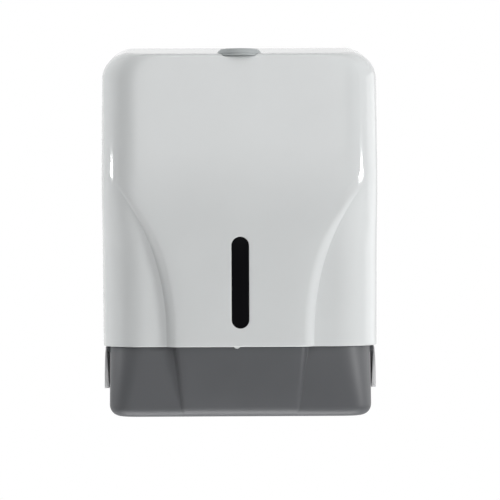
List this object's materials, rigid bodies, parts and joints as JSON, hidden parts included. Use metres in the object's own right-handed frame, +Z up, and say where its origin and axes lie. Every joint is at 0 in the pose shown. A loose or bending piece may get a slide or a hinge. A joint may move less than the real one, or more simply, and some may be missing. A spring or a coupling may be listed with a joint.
{
  "type": "folded tissue wall dispenser",
  "caption": "White moulded wall dispenser for folded tissue with a raised front panel, level window, turn lock in the top edge, swing-down cover and grey tray with a bottom outlet.",
  "frame": {"origin": "centre of the four wall screw holes on the wall plane, at the rear face of the back plate", "axes": "+X to the right seen from the front, +Y into the wall, +Z up; the front faces -Y"},
  "size_m": [0.2784, 0.118, 0.377],
  "materials": {
    "cover_white": "gloss",
    "base_grey": "satin",
    "plate_grey": "satin",
    "window_smoke": "gloss",
    "lock_grey": "satin",
    "steel": "satin"
  },
  "bodies": {
    "base": {"back_plate": "plate_grey", "lower_tray": "base_grey", "tray_screws": "steel", "hinge_pin_left": "steel", "hinge_pin_right": "steel", "lock_keeper": "steel", "keeper_screws": "steel"},
    "cover": {"front_cover": "cover_white", "window_lens": "window_smoke", "window_frame": "cover_white", "frame_screws": "steel"},
    "lock": {"lock_knob": "lock_grey", "lock_washer": "steel", "lock_cam": "steel", "cam_screw": "steel"}
  },
  "joints": [
    {"name": "cover_hinge", "type": "hinge", "parent": "base", "child": "cover", "pos_m": [0, -0.03, -0.1585], "axis": [1, 0, 0], "range_deg": [0, 85]},
    {"name": "lock_turn", "type": "hinge", "parent": "cover", "child": "lock", "pos_m": [0, -0.089, 0.165], "axis": [0, 0, -1], "range_deg": [0, 90]}
  ]
}
